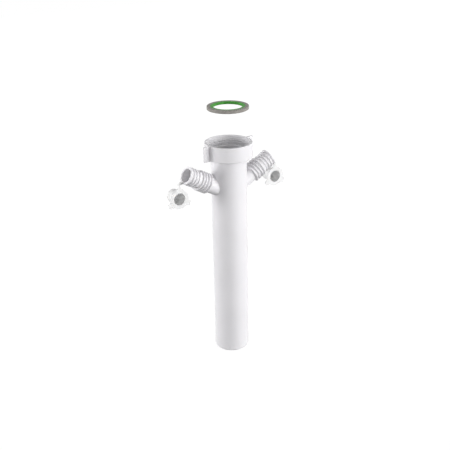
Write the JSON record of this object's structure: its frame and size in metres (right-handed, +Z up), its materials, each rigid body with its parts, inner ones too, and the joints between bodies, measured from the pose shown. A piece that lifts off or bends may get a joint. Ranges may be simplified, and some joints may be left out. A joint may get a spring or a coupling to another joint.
{
  "type": "double appliance waste connector",
  "caption": "Straight waste tube with a winged union nut, two upward barbed hose nozzles, tethered blanking caps and a two-part sealing washer.",
  "frame": {"origin": "centre of the tube's foot", "axes": "+Z up the tube's axis towards the nut, +X towards the right nozzle; the caps' open sides face -Y"},
  "size_m": [0.1534, 0.0532, 0.2967],
  "materials": {
    "white_plastic": "smooth moulded, satin to gloss",
    "nut_plastic": "smooth moulded, satin to gloss",
    "cap_plastic": "smooth moulded, soft sheen",
    "grey_rubber": "matte",
    "green_rubber": "satin"
  },
  "bodies": {
    "moulding": {"waste_body": "white_plastic"},
    "nut": {"union_nut": "nut_plastic"},
    "washer": {"seal_ring": "grey_rubber", "seal_lip": "green_rubber"},
    "left_cap": {"left_cap": "cap_plastic"},
    "right_cap": {"right_cap": "cap_plastic"}
  },
  "joints": [
    {"name": "nut_turn", "type": "hinge", "parent": "moulding", "child": "nut", "pos_m": [0, 0, 0.2397], "axis": [0, 0, 1], "continuous": true},
    {"name": "washer_lift", "type": "slide", "parent": "moulding", "child": "washer", "axis": [0, 0, 1], "range_m": [-0.0468, 0]},
    {"name": "left_cap_bend", "type": "hinge", "parent": "moulding", "child": "left_cap", "pos_m": [-0.05962, 0.0005, 0.22064], "axis": [-0.5, 0, -0.866], "range_deg": [-90, 90], "stiffness_Nm_per_rad": 0.005},
    {"name": "right_cap_bend", "type": "hinge", "parent": "moulding", "child": "right_cap", "pos_m": [0.05962, 0.0005, 0.22064], "axis": [-0.5, 0, 0.866], "range_deg": [-90, 90], "stiffness_Nm_per_rad": 0.005}
  ]
}
